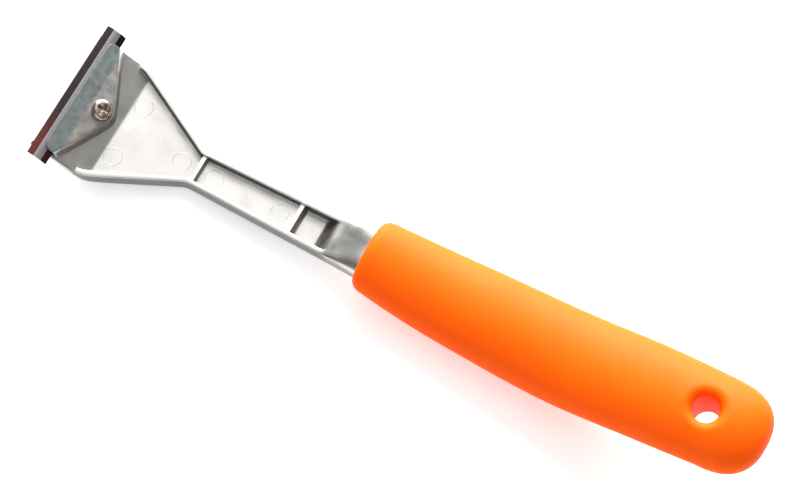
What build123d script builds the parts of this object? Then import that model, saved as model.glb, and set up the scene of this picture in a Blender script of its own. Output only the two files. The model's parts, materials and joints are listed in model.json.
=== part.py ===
from build123d import *
import math
import os

# Hand scraper with a clamped strip blade: a die-cast head, a moulded handle on its tang, a blade,
# a pressed clamp plate and one screw. Millimetres and degrees.
#
# Everything is drawn in the tool frame: X runs from the blade (-X) to the handle (+X), Y across the
# tool, which is the same on both sides of Y = 0, and Z up. X = 0 is where the triangular platform
# meets the neck. The last section lays the tool down on its neck and belly, origin under its middle.

# --- side view of the casting: front plate, platform and neck ---
BEND_X = -27.75              # line where the front plate turns up from the platform
BEND_Z = -0.6
FRONT_TILT = 27.0            # front plate, rising towards the blade
PLATFORM_TILT = 7.8          # platform, rising towards the blade; the neck is level
FLOOR_THICK = 2.2
LIP_THICK = 1.5              # front plate at its front edge
UNDER_BEND_BACK = 5.0        # the underside turns up over this much of the platform
UNDER_BEND_FRONT = 3.5       # and this much of the front plate
RIM_HEIGHT = 3.2             # rim ribs above the floor
SINK = 0.5                   # how far a rib or bed is sunk into the floor under it

# --- plan view of the casting: outer edge, and the channel inside the rims ---
FRONT_HALF = 21.6            # front plate, half its width
SHOULDER_X = -28.8           # where the sides turn in towards the neck
SHOULDER_ROUND = 14.0
NECK_HALF = 6.1              # neck at the platform, half its width
NECK_ROOT_X = 0.0
NECK_ROOT_ROUND = 8.0
NECK_END_X = 50.5
NECK_END_HALF = 7.1
CHANNEL_FRONT_HALF = 19.8
CHANNEL_SHOULDER_X = -30.0
CHANNEL_SHOULDER_ROUND = 12.0
CHANNEL_HALF = 4.6
CHANNEL_ROOT_X = -0.4
CHANNEL_ROOT_ROUND = 2.0
CHANNEL_END_HALF = 5.4

# --- front plate, measured from the bend: S along the plate, N above its top face ---
PLATE_LENGTH = 21.3
RIM_START_S = 4.6            # rim ribs run out here
RIM_RUNOUT = 2.2             # length of their slope
SEAT_BACK_S = 13.85
SEAT_BACK_HALF = 17.5        # the bed's back corners are cut off to here
SEAT_SHOULDER_S = 15.6
SEAT_HALF = 21.0
SEAT_HEIGHT = 1.7
STOP_BACK_S = 12.9           # low rib behind the blade
STOP_FOOT_S = 11.7
STOP_HEIGHT = 2.05
STOP_HALF = 15.0
SCREW_S = 8.3

# --- cross ribs, last cell of the channel, ejector marks ---
CROSS_RIB_X = (1.2, 36.8)
CROSS_RIB_THICK = 1.8
CROSS_RIB_DROP = 0.5         # below the top of the rims
POCKET_DROP = 0.9            # the last cell is this much deeper
RAMP_X = 45.5                # the last cell's floor climbs to the bolster from here
MARK_RADIUS = 3.0
MARK_LINE = 0.28
MARK_DEPTH = 0.12
PLATFORM_MARKS = ((-24.6, 9.8), (-24.6, -9.8), (-5.0, 0.0))
NECK_MARKS = (6.8, 31.0)

# --- bolster and tang ---
BOLSTER_STEPS = ((49.5, 0.0), (52.0, 0.18), (56.0, 0.5), (63.0, 1.0))  # X and how far it has swelled
BOLSTER_HALF = 8.9
BOLSTER_TOP = 4.4
BOLSTER_BOTTOM = -5.1
BOLSTER_START_ROUND = 0.6
BOLSTER_END_ROUND = 4.0
TANG_START_X = 60.0
TANG_END_X = 122.0
TANG_HALF = 4.8
TANG_END_HALF = 3.4
TANG_END_ROUND = 2.5
TANG_TOP = 1.6
TANG_BOTTOM = -4.6

# --- screw and its threaded boss ---
THREAD_RADIUS = 1.75
THREAD_CLEARANCE = 0.05
SCREW_LENGTH = 8.0
SCREW_POINT = 0.4            # chamfer at the end of the thread
HEAD_RADIUS = 3.5
HEAD_HEIGHT = 2.2
HEAD_ROUND = 1.4
RECESS_SPAN = 3.9
RECESS_WIDTH = 0.85
RECESS_DEPTH = 1.5
BOSS_RADIUS = 4.2
BOSS_BOTTOM_N = -5.2
BOSS_TOP_N = 1.2

# --- blade ---
BLADE_LENGTH = 50.0
BLADE_WIDTH = 7.2
BLADE_THICK = 0.9
BLADE_FRONT_S = 21.1
BEVEL_WIDTH = 2.2
EDGE_THICK = 0.12
GAP = 0.02                   # between the blade or the screw head and what it rests on

# --- clamp plate: pressed sheet with a front strip, a flat back panel and two sloping rear sides ---
SHEET = 0.8
CLAMP_FRONT_S = 17.75
CLAMP_CREASE_S = 12.5        # the front strip rises forward from here
CLAMP_HALF = 20.7
CLAMP_PANEL_N = 2.9          # top face of the back panel
CLAMP_FOOT_N = 0.1
CLAMP_APEX_S = 1.4           # where the two rear edges meet
CLAMP_SWEEP = 0.51           # S gained per mm of Y along a rear edge
CLAMP_SIDE_SLOPE = 0.76      # S gained per mm of N up a rear side
CLAMP_SIDE_END_S = 13.3      # the rear sides stop here, behind the blade
SCREW_HOLE_RADIUS = 2.0

# --- handle: X, half width and centre height at points along it, from behind its front rounding ---
HANDLE_LINE = (
    (67.0, 12.6, -0.2),
    (82.0, 13.8, -2.2),
    (106.0, 15.1, -2.8),
    (134.0, 15.9, -1.9),
    (162.0, 15.8, 4.5),
    (184.5, 15.1, 8.3),
)
HANDLE_FLATNESS = 0.64       # half height for each mm of half width
BODY_STATIONS = 13
FRONT_LENGTH = 4.0           # rounded front, ahead of the first point
FRONT_INSET = 0.24           # share of the width that the rounding takes off
FRONT_RISE = 0.7
FRONT_STEPS = (1.0, 0.8, 0.4)
CAP_LENGTH = 16.8            # rounded end, behind the last point
CAP_POWER = 2.5              # 2 would be an ellipse; more is blunter
CAP_RISE = 0.9               # the middle climbs this much over the rounded end
CAP_STEPS = (0.4, 0.7, 0.88, 0.97)

# --- hang hole ---
HANG_X = 181.0
HANG_Z = 8.4
HANG_RADIUS = 4.3
HANG_FLARE = 3.6
HANG_HALF_LENGTH = 5.6       # straight part of the bore, each way from the middle
HANG_TILT = 6.0              # top of the bore leans towards the blade

REST_PITCH = 3.37            # turns the tool about Y so that neck and belly both touch
FAR = 60.0                   # larger than any width, for cutting shapes


def floor_z(x):
    """Height of the top of the floor at x, on the platform or the level neck."""
    slope = math.tan(math.radians(PLATFORM_TILT))
    return BEND_Z + slope * (BEND_X - min(x, 0.0))


def on_plate(s, n):
    """Side-view point (x, z) of a place on the front plate."""
    tilt = math.radians(FRONT_TILT)
    x = BEND_X - s * math.cos(tilt) + n * math.sin(tilt)
    z = BEND_Z + s * math.sin(tilt) + n * math.cos(tilt)
    return x, z


def plate_frame():
    """Location whose X is S along the front plate, Y is the tool's -Y and Z is N."""
    tilt = math.radians(FRONT_TILT)
    along = (-math.cos(tilt), 0, math.sin(tilt))
    normal = (math.sin(tilt), 0, math.cos(tilt))
    return Plane(origin=(BEND_X, 0, BEND_Z), x_dir=along, z_dir=normal).location


def side_solid(points, half):
    """Solid with a side-view outline in X and Z, `half` wide each side of Y = 0."""
    face = make_face(Plane.XZ * Polyline(*points, close=True))
    return extrude(face, half, both=True)


def sn_solid(points, half):
    """Solid with an outline in S and N, `half` wide each side of Y = 0."""
    return plate_frame() * side_solid(points, half)


def plate_cylinder(radius, low, high):
    """Cylinder about the screw's axis, between two heights above the front plate."""
    return plate_frame() * (Pos(SCREW_S, 0, (low + high) / 2) * Cylinder(radius, high - low))


def plan_prism(corners, rounds):
    """Upright prism with a plan outline, given on one side of Y = 0 and mirrored to the other."""
    mirrored = [(x, -y) for x, y in reversed(corners)]
    outline = FilletPolyline(*corners, *mirrored, radius=rounds + rounds[::-1], close=True)
    return extrude(make_face(outline), FAR / 2, both=True)


def outer_plan():
    """Prism with the outer edge of the head and neck."""
    corners = [
        (SHOULDER_X - FAR, FRONT_HALF),
        (SHOULDER_X, FRONT_HALF),
        (NECK_ROOT_X, NECK_HALF),
        (NECK_END_X, NECK_END_HALF),
    ]
    return plan_prism(corners, [0.0, SHOULDER_ROUND, NECK_ROOT_ROUND, 0.0])


def channel_plan():
    """Prism with the edge of the channel between the rims."""
    corners = [
        (CHANNEL_SHOULDER_X - FAR, CHANNEL_FRONT_HALF),
        (CHANNEL_SHOULDER_X, CHANNEL_FRONT_HALF),
        (CHANNEL_ROOT_X, CHANNEL_HALF),
        (NECK_END_X, CHANNEL_END_HALF),
    ]
    return plan_prism(corners, [0.0, CHANNEL_SHOULDER_ROUND, CHANNEL_ROOT_ROUND, 0.0])


def floor_body():
    """Front plate, platform and neck floor as one bent plate."""
    under_x = BEND_X + UNDER_BEND_BACK
    profile = [
        on_plate(PLATE_LENGTH, 0),
        (BEND_X, BEND_Z),
        (0, floor_z(0)),
        (NECK_END_X, floor_z(0)),
        (NECK_END_X, floor_z(0) - FLOOR_THICK),
        (0, floor_z(0) - FLOOR_THICK),
        (under_x, floor_z(under_x) - FLOOR_THICK),
        on_plate(UNDER_BEND_FRONT, -FLOOR_THICK),
        on_plate(PLATE_LENGTH, -LIP_THICK),
    ]
    return side_solid(profile, FAR) & outer_plan()


def rims():
    """Rim ribs along both flared sides and the neck, running out on the front plate."""
    bend_top = BEND_Z + RIM_HEIGHT
    profile = [
        on_plate(RIM_START_S, -SINK),
        on_plate(RIM_START_S, SINK),
        (BEND_X - RIM_RUNOUT, bend_top),
        (BEND_X, bend_top),
        (0, floor_z(0) + RIM_HEIGHT),
        (NECK_END_X, floor_z(0) + RIM_HEIGHT),
        (NECK_END_X, floor_z(0) - SINK),
        (0, floor_z(0) - SINK),
        (BEND_X, BEND_Z - SINK),
    ]
    return side_solid(profile, FAR) & (outer_plan() - channel_plan())


def cross_rib(x):
    """Rib across the neck's channel at x."""
    height = RIM_HEIGHT - CROSS_RIB_DROP + SINK
    middle = Pos(x, 0, floor_z(0) - SINK + height / 2)
    return middle * Box(CROSS_RIB_THICK, NECK_HALF + CHANNEL_HALF, height)


def pocket():
    """Extra depth of the last cell, with a slope up to the top of the rims behind it."""
    start = CROSS_RIB_X[-1] + CROSS_RIB_THICK / 2
    top = floor_z(0) + RIM_HEIGHT
    low = floor_z(0) - POCKET_DROP
    slope = [(start, low), (RAMP_X, low), (NECK_END_X, top), (start, top)]
    return side_solid(slope, FAR) & channel_plan()


def bolster():
    """Solid swelling between the channelled neck and the handle."""
    neck_top = floor_z(0) + RIM_HEIGHT
    neck_low = floor_z(0) - FLOOR_THICK
    sections = []
    for x, swelled in BOLSTER_STEPS:
        half = NECK_END_HALF + swelled * (BOLSTER_HALF - NECK_END_HALF)
        top = neck_top + swelled * (BOLSTER_TOP - neck_top)
        low = neck_low + swelled * (BOLSTER_BOTTOM - neck_low)
        corner = BOLSTER_START_ROUND + swelled * (BOLSTER_END_ROUND - BOLSTER_START_ROUND)
        plane = Plane(origin=(x, 0, (top + low) / 2), x_dir=(0, 1, 0), z_dir=(1, 0, 0))
        sections.append(plane * RectangleRounded(2 * half, top - low, corner))
    return loft(sections)


def neck_end():
    """Solid block that closes the channel under the start of the bolster."""
    top = floor_z(0) + RIM_HEIGHT
    low = floor_z(0) - FLOOR_THICK
    outline = [(RAMP_X, low), (RAMP_X, top), (NECK_END_X, top), (NECK_END_X, low)]
    return side_solid(outline, FAR) & outer_plan()


def tang():
    """Tapered bar from the bolster into the handle, with a rounded end."""
    plan = Polyline(
        (TANG_START_X, TANG_HALF),
        (TANG_END_X, TANG_END_HALF),
        (TANG_END_X, -TANG_END_HALF),
        (TANG_START_X, -TANG_HALF),
        close=True,
    )
    bar = extrude(Pos(0, 0, TANG_BOTTOM) * make_face(plan), TANG_TOP - TANG_BOTTOM)
    return fillet(bar.edges().filter_by(Axis.Z).group_by(Axis.X)[-1], TANG_END_ROUND)


def seat():
    """Raised bed under the blade, its back corners cut off, with a low stop behind it."""
    bed = Polyline(
        (PLATE_LENGTH, SEAT_HALF),
        (SEAT_SHOULDER_S, SEAT_HALF),
        (SEAT_BACK_S, SEAT_BACK_HALF),
        (SEAT_BACK_S, -SEAT_BACK_HALF),
        (SEAT_SHOULDER_S, -SEAT_HALF),
        (PLATE_LENGTH, -SEAT_HALF),
        close=True,
    )
    stop = [
        (SEAT_BACK_S, -SINK),
        (SEAT_BACK_S, STOP_HEIGHT),
        (STOP_BACK_S, STOP_HEIGHT),
        (STOP_FOOT_S, 0),
        (STOP_FOOT_S, -SINK),
    ]
    block = extrude(Pos(0, 0, -SINK) * make_face(bed), SEAT_HEIGHT + SINK)
    return plate_frame() * block + sn_solid(stop, STOP_HALF)


def ejector_mark(x, y):
    """Shallow ring left on the floor by an ejector pin."""
    tilt = PLATFORM_TILT if x < 0 else 0.0
    ring = Cylinder(MARK_RADIUS, 2 * MARK_DEPTH) - Cylinder(MARK_RADIUS - MARK_LINE, 2 * MARK_DEPTH)
    return Pos(x, y, floor_z(x)) * (Rot(0, tilt, 0) * ring)


def head_casting():
    """Die-cast head: plate, rims, cross ribs, seat, boss, bolster and tang in one piece."""
    body = floor_body() + rims() + neck_end() + bolster() - pocket()
    for x in CROSS_RIB_X:
        body += cross_rib(x)
    body += seat() + plate_cylinder(BOSS_RADIUS, BOSS_BOTTOM_N, BOSS_TOP_N) + tang()
    body -= plate_cylinder(THREAD_RADIUS + THREAD_CLEARANCE, -FAR, FAR)
    for x, y in PLATFORM_MARKS:
        body -= ejector_mark(x, y)
    for x in NECK_MARKS:
        body -= ejector_mark(x, 0)
    return body


def blade():
    """Strip with a ground edge along both long sides, so that it can be turned round."""
    low = SEAT_HEIGHT + GAP
    back = BLADE_FRONT_S - BLADE_WIDTH + GAP
    profile = [
        (back, low),
        (BLADE_FRONT_S, low),
        (BLADE_FRONT_S, low + EDGE_THICK),
        (BLADE_FRONT_S - BEVEL_WIDTH, low + BLADE_THICK),
        (back + BEVEL_WIDTH, low + BLADE_THICK),
        (back, low + EDGE_THICK),
    ]
    return sn_solid(profile, BLADE_LENGTH / 2)


def strip_n(s):
    """Height of the underside of the clamp plate's front strip, which bears on the blade's flat."""
    flat_s = BLADE_FRONT_S - BLADE_WIDTH + BEVEL_WIDTH
    flat_n = SEAT_HEIGHT + BLADE_THICK + 3 * GAP
    crease_n = CLAMP_PANEL_N - SHEET
    return crease_n + (flat_n - crease_n) * (s - CLAMP_CREASE_S) / (flat_s - CLAMP_CREASE_S)


def clamp_wedge(inward, half):
    """Space between the two sloping rear sides, moved in by `inward` along S."""
    sections = []
    for n in (-2 * SHEET, CLAMP_PANEL_N + 2 * SHEET):
        apex = CLAMP_APEX_S + inward + (n - CLAMP_FOOT_N) * CLAMP_SIDE_SLOPE
        side = apex + half * CLAMP_SWEEP
        points = [(apex, 0, n), (side, half, n), (FAR, half, n), (FAR, -half, n), (side, -half, n)]
        sections.append(make_face(Polyline(*points, close=True)))
    return plate_frame() * loft(sections, ruled=True)


def clamp_plate():
    """Pressed clamp plate: front strip, crease, flat back panel and two sloping rear sides."""
    top = [
        (0, CLAMP_FOOT_N),
        (CLAMP_FRONT_S, CLAMP_FOOT_N),
        (CLAMP_FRONT_S, strip_n(CLAMP_FRONT_S) + SHEET),
        (CLAMP_CREASE_S, CLAMP_PANEL_N),
        (0, CLAMP_PANEL_N),
    ]
    under_panel = [
        (0, -SHEET),
        (CLAMP_SIDE_END_S, -SHEET),
        (CLAMP_SIDE_END_S, strip_n(CLAMP_SIDE_END_S)),
        (CLAMP_CREASE_S, strip_n(CLAMP_CREASE_S)),
        (0, strip_n(CLAMP_CREASE_S)),
    ]
    under_strip = [
        (CLAMP_SIDE_END_S, -SHEET),
        (FAR, -SHEET),
        (FAR, strip_n(FAR)),
        (CLAMP_SIDE_END_S, strip_n(CLAMP_SIDE_END_S)),
    ]
    wall = SHEET * math.hypot(1.0, CLAMP_SWEEP, CLAMP_SIDE_SLOPE)
    outer = sn_solid(top, CLAMP_HALF) & clamp_wedge(0.0, CLAMP_HALF)
    inner = (sn_solid(under_panel, FAR) & clamp_wedge(wall, FAR)) + sn_solid(under_strip, FAR)
    return outer - inner - plate_cylinder(SCREW_HOLE_RADIUS, -FAR, FAR)


def clamp_screw():
    """Pan-head screw with a cross recess; the thread is a plain cylinder at its outer size."""
    seat_n = CLAMP_PANEL_N + GAP
    top = seat_n + HEAD_HEIGHT
    shank = Pos(0, 0, seat_n - SCREW_LENGTH / 2) * Cylinder(THREAD_RADIUS, SCREW_LENGTH)
    shank = chamfer(shank.edges().group_by(Axis.Z)[0], SCREW_POINT)
    head = Pos(0, 0, seat_n + HEAD_HEIGHT / 2) * Cylinder(HEAD_RADIUS, HEAD_HEIGHT)
    head = fillet(head.edges().group_by(Axis.Z)[-1], HEAD_ROUND)
    arm = Box(RECESS_SPAN, RECESS_WIDTH, 2 * RECESS_DEPTH)
    recess = Pos(0, 0, top) * (arm + Rot(0, 0, 90) * arm)
    return plate_frame() * (Pos(SCREW_S, 0, 0) * (shank + head - recess))


def hang_cutter():
    """Bore of the hang hole, flaring with a quarter round at both mouths."""
    mouth_r = HANG_RADIUS + HANG_FLARE
    mouth_z = HANG_HALF_LENGTH + HANG_FLARE
    middle = HANG_FLARE * math.sqrt(0.5)
    flare = ThreePointArc(
        (HANG_RADIUS, HANG_HALF_LENGTH),
        (mouth_r - middle, HANG_HALF_LENGTH + middle),
        (mouth_r, mouth_z),
    )
    rest = Polyline(
        (mouth_r, mouth_z),
        (mouth_r, FAR),
        (0, FAR),
        (0, 0),
        (HANG_RADIUS, 0),
        (HANG_RADIUS, HANG_HALF_LENGTH),
    )
    half = revolve(make_face(Plane.XZ * (flare + rest)), Axis.Z)
    cutter = half + mirror(half, Plane.XY)
    return Pos(HANG_X, 0, HANG_Z) * (Rot(0, -HANG_TILT, 0) * cutter)


def handle_stations():
    """X, half width and centre height of each section, from the rounded front to the rounded end."""
    first_x, first_half, first_z = HANDLE_LINE[0]
    last_x, last_half, last_z = HANDLE_LINE[-1]
    line = Spline(*HANDLE_LINE)
    stations = []
    for step in FRONT_STEPS:
        scale = 1 - FRONT_INSET * (1 - math.sqrt(1 - step**2))
        stations.append((first_x - step * FRONT_LENGTH, first_half * scale, first_z + step * FRONT_RISE))
    for i in range(BODY_STATIONS):
        point = line @ (i / (BODY_STATIONS - 1))
        stations.append((point.X, point.Y, point.Z))
    for step in CAP_STEPS:
        scale = (1 - step**CAP_POWER) ** (1 / CAP_POWER)
        stations.append((last_x + step * CAP_LENGTH, last_half * scale, last_z + step * CAP_RISE))
    return stations


def handle():
    """Moulded handle: an arched oval bar with a socket for the tang and a hang hole."""
    sections = []
    for x, half, centre in handle_stations():
        plane = Plane(origin=(x, 0, centre), x_dir=(0, 1, 0), z_dir=(1, 0, 0))
        sections.append(plane * Ellipse(half, half * HANDLE_FLATNESS))
    last_x, _, last_z = HANDLE_LINE[-1]
    sections.append(Vertex(last_x + CAP_LENGTH, 0, last_z + CAP_RISE))
    return loft(sections) - hang_cutter() - tang()


def resting_place(shapes):
    """Location that lays the tool on the root of its neck and its belly, origin under its middle."""
    laid = Rot(0, -REST_PITCH, 0)
    box = Compound(children=[laid * shape for shape in shapes]).bounding_box()
    root_height = (FLOOR_THICK - floor_z(0)) * math.cos(math.radians(REST_PITCH))
    return Pos(-box.center().X, 0, root_height) * laid


PARTS = {
    "head_casting": head_casting(),
    "handle": handle(),
    "blade": blade(),
    "clamp_plate": clamp_plate(),
    "clamp_screw": clamp_screw(),
}


def main():
    os.makedirs("parts", exist_ok=True)
    place = resting_place(list(PARTS.values()))
    for name, shape in PARTS.items():
        export_step(place * shape, os.path.join("parts", name + ".step"))


main()
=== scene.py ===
import json
import logging
import math
from dataclasses import dataclass, field
from enum import Enum

import bmesh
import bpy
import numpy as np
from mathutils import Matrix


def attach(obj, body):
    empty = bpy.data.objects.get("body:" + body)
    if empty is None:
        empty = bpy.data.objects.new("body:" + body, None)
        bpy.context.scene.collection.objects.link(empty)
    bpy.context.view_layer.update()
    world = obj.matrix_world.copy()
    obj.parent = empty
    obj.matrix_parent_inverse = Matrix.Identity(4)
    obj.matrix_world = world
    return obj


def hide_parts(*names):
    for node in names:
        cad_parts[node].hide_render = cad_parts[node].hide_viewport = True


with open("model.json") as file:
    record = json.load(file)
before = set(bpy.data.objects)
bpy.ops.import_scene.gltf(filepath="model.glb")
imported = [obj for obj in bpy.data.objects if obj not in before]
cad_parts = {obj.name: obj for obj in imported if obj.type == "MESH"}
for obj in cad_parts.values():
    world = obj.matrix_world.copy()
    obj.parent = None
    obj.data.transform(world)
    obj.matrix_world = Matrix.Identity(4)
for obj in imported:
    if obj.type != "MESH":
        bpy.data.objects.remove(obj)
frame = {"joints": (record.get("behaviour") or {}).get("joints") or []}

# Looks of a hand scraper: a die-cast head with a channelled neck, a moulded handle, a strip blade, a
# pressed clamp plate and its screw. Shapes are worked out in millimetres in the tool frame: X runs
# from the blade to the handle, Y across the tool and Z up, with X = 0 where the platform meets the
# neck. ToolFrame lays them down in the row's frame, in metres.

LOG = logging.getLogger("scraper")
METRES = 0.001
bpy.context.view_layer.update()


# ---------------------------------------------------------------- places


@dataclass(frozen=True)
class FrontPlate:
    """The tilted plate that carries the blade, with S along it from the bend and N above it."""

    bend_x: float = -27.75
    bend_z: float = -0.6
    tilt_deg: float = 27.0

    def at(self, s: np.ndarray, y: np.ndarray, n: np.ndarray) -> np.ndarray:
        """Turns plate places into tool-frame points.

        Formula: from the bend, S along the rising plate and N square to it.

        Args:
            s: Distance along the plate from the bend.
            y: Distance across the tool.
            n: Height above the plate's top face.

        Returns:
            Points, with X, Y and Z on the last axis.
        """
        tilt = math.radians(self.tilt_deg)
        s, y, n = np.broadcast_arrays(np.asarray(s, float), y, n)
        x = self.bend_x - s * math.cos(tilt) + n * math.sin(tilt)
        z = self.bend_z + s * math.sin(tilt) + n * math.cos(tilt)
        return np.stack([x, y, z], axis=-1)


@dataclass(frozen=True)
class ToolFrame:
    """Lays the tool down on its neck and belly, in the row's frame."""

    pitch_deg: float = 3.37
    screw_s: float = 8.3
    screw_seat_n: float = 2.9
    plate: FrontPlate = FrontPlate()

    def turn(self, points: np.ndarray) -> np.ndarray:
        """Turns points or directions about Y so that the handle rises.

        Args:
            points: Points with X, Y and Z on the last axis.

        Returns:
            The turned points.
        """
        pitch = math.radians(self.pitch_deg)
        x, y, z = np.moveaxis(np.asarray(points, float), -1, 0)
        turned_x = x * math.cos(pitch) - z * math.sin(pitch)
        turned_z = x * math.sin(pitch) + z * math.cos(pitch)
        return np.stack([turned_x, y, turned_z], axis=-1)

    def origin(self) -> np.ndarray:
        """The row-frame place, in metres, of the tool frame's origin, from the screw joint's axis."""
        joint = next(j for j in frame["joints"] if j["name"] == "screw_turn")
        seat = self.plate.at(np.array(self.screw_s), 0.0, self.screw_seat_n)
        return np.array(joint["pos_m"]) - self.turn(seat) * METRES

    def place(self, points: np.ndarray) -> np.ndarray:
        """Turns tool-frame points in millimetres into row-frame points in metres."""
        return self.turn(points) * METRES + self.origin()

    def back(self, points: np.ndarray) -> np.ndarray:
        """Turns row-frame points in metres back into tool-frame points in millimetres."""
        return ToolFrame(-self.pitch_deg).turn((points - self.origin()) / METRES)


TOOL = ToolFrame()
PLATE = TOOL.plate


# ---------------------------------------------------------------- curves and grids


def smooth_line(knots: np.ndarray, x: np.ndarray) -> np.ndarray:
    """Carries a smooth line through knots.

    Formula: between two knots, the cubic that has their values and, at each, the slope of the
    parabola through that knot and its two neighbours.

    Args:
        knots: Rows of X and one or more values.
        x: Where to read the line. Outside the knots it goes on straight.

    Returns:
        One row of values for each X.
    """
    at, values = knots[:, 0], knots[:, 1:]
    slopes = np.gradient(values, at, axis=0, edge_order=2)
    inside = np.clip(x, at[0], at[-1])
    i = np.clip(np.searchsorted(at, inside) - 1, 0, len(at) - 2)
    width = (at[i + 1] - at[i])[:, None]
    t = ((inside - at[i]) / width[:, 0])[:, None]
    start, end = values[i], values[i + 1]
    rise = t * t * (3 - 2 * t)
    line = start + (end - start) * rise
    line += width * (slopes[i] * t * (1 - t) ** 2 - slopes[i + 1] * t * t * (1 - t))
    beyond = (x - inside)[:, None]
    return line + beyond * np.where(beyond > 0, slopes[-1], slopes[0])


def soft_max(a: np.ndarray, b: np.ndarray | float, blend: float) -> np.ndarray:
    """The larger of two heights, rounded where they cross.

    Formula: their mean plus half the square root of their difference squared plus the blend squared.

    Args:
        a: First height.
        b: Second height.
        blend: Size of the rounding.

    Returns:
        The rounded larger height.
    """
    return 0.5 * (a + b + np.sqrt((a - b) ** 2 + blend**2))


def soft_min(a: np.ndarray, b: np.ndarray | float, blend: float) -> np.ndarray:
    """The smaller of two heights, rounded where they cross."""
    return -soft_max(-np.asarray(a), -np.asarray(b), blend)


def smooth_step(low: float, high: float, x: np.ndarray) -> np.ndarray:
    """Rises from 0 at low to 1 at high, level at both ends: three t squared less two t cubed."""
    t = np.clip((x - low) / (high - low), 0.0, 1.0)
    return t * t * (3 - 2 * t)


def grid_faces(rows: int, columns: int, wrap: bool) -> np.ndarray:
    """Faces of a grid whose vertices run row by row.

    Formula: each face joins a vertex, the next in its row, and the two beside them in the next row.

    Args:
        rows: Number of rows of vertices.
        columns: Number of vertices in a row.
        wrap: Whether the last column joins the first.

    Returns:
        Four vertex numbers for each face.
    """
    across = columns if wrap else columns - 1
    row, column = np.meshgrid(np.arange(rows - 1), np.arange(across), indexing="ij")
    after = (column + 1) % columns
    corners = [row * columns + column, row * columns + after,
               (row + 1) * columns + after, (row + 1) * columns + column]
    return np.stack(corners, axis=-1).reshape(-1, 4)


@dataclass
class Skin:
    """Vertices and faces of a piece while it is being built, in the tool frame."""

    points: list[np.ndarray] = field(default_factory=list)
    quads: list[np.ndarray] = field(default_factory=list)
    fans: list[tuple[int, ...]] = field(default_factory=list)
    count: int = 0

    def add_points(self, points: np.ndarray) -> int:
        """Adds vertices.

        Args:
            points: Points with X, Y and Z on the last axis.

        Returns:
            The number of the first one.
        """
        first = self.count
        self.points.append(points.reshape(-1, 3))
        self.count += len(self.points[-1])
        return first

    def add_grid(self, points: np.ndarray, wrap: bool = False,
                 skip: np.ndarray | None = None) -> int:
        """Adds a grid of vertices and its faces.

        Args:
            points: Rows and columns of points.
            wrap: Whether the last column joins the first.
            skip: Marks, for each face, that it is left out.

        Returns:
            The number of the grid's first vertex.
        """
        first = self.add_points(points)
        faces = grid_faces(points.shape[0], points.shape[1], wrap)
        if skip is not None:
            faces = faces[~skip.reshape(-1)]
        self.quads.append(faces + first)
        return first

    def cap(self, ring: np.ndarray) -> None:
        """Closes a ring of vertices with one many-sided face."""
        self.fans.append(tuple(int(i) for i in ring))

    def bridge(self, ring_a: np.ndarray, ring_b: np.ndarray) -> None:
        """Joins two rings of as many vertices with a band of faces."""
        corners = [ring_a, np.roll(ring_a, -1), np.roll(ring_b, -1), ring_b]
        self.quads.append(np.stack(corners, axis=-1))

    def piece(self, name: str, sharp_deg: float = 40.0) -> bpy.types.Object:
        """Makes the Blender object, lying in the row's frame, with its faces outwards.

        Args:
            name: Name of the piece.
            sharp_deg: An edge that turns by more than this is drawn sharp.

        Returns:
            The linked object.
        """
        mesh = bpy.data.meshes.new(name)
        faces = np.concatenate(self.quads).tolist() + [list(f) for f in self.fans]
        mesh.from_pydata(TOOL.place(np.concatenate(self.points)).tolist(), [], faces)
        work = bmesh.new()
        work.from_mesh(mesh)
        bmesh.ops.remove_doubles(work, verts=work.verts, dist=2e-6)
        bmesh.ops.delete(work, geom=[v for v in work.verts if not v.link_faces], context="VERTS")
        bmesh.ops.recalc_face_normals(work, faces=work.faces)
        work.to_mesh(mesh)
        work.free()
        mesh.polygons.foreach_set("use_smooth", np.ones(len(mesh.polygons), bool))
        mesh.set_sharp_from_angle(angle=math.radians(sharp_deg))
        mesh.update()
        thing = bpy.data.objects.new(name, mesh)
        bpy.context.scene.collection.objects.link(thing)
        return thing


def vertex_places(mesh: bpy.types.Mesh) -> np.ndarray:
    """Reads a mesh's vertices.

    Args:
        mesh: The mesh, lying in the row's frame.

    Returns:
        A row of X, Y and Z in metres for each vertex.
    """
    points = np.empty(len(mesh.vertices) * 3)
    mesh.vertices.foreach_get("co", points)
    return points.reshape(-1, 3)


def write_values(mesh: bpy.types.Mesh, name: str, values: np.ndarray) -> None:
    """Gives a mesh one number at each vertex, for its finish to read."""
    column = mesh.attributes.new(name, "FLOAT", "POINT")
    column.data.foreach_set("value", values.astype(np.float32))


def along_plate(mesh: bpy.types.Mesh) -> tuple[np.ndarray, np.ndarray, np.ndarray]:
    """Finds where a mesh's vertices lie on the front plate.

    Formula: the offset from the bend, measured along the plate's own three directions.

    Args:
        mesh: The mesh, lying in the row's frame.

    Returns:
        S, Y and N, in millimetres.
    """
    start = PLATE.at(np.array(0.0), 0.0, 0.0)
    offset = (vertex_places(mesh) - TOOL.place(start)) / METRES
    ahead = TOOL.turn(PLATE.at(np.array(1.0), 0.0, 0.0) - start)
    up = TOOL.turn(PLATE.at(np.array(0.0), 0.0, 1.0) - start)
    return offset @ ahead, offset[:, 1], offset @ up


def quarter(centre_y: np.ndarray, centre_z: np.ndarray, radius: np.ndarray, start: float,
            sign: float) -> tuple[np.ndarray, np.ndarray]:
    """Carries six points round a quarter circle at every station.

    Formula: the centre plus the radius times the cosine and the sine of the angle.

    Args:
        centre_y: Y of each centre.
        centre_z: Z of each centre.
        radius: Radius at each station.
        start: First angle.
        sign: 1 to turn from Y towards Z, -1 for the other way.

    Returns:
        Y and Z by station and point.
    """
    angle = start + sign * np.linspace(0.0, math.pi / 2, 6)
    return (centre_y[:, None] + radius[:, None] * np.cos(angle),
            centre_z[:, None] + radius[:, None] * np.sin(angle))


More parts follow.
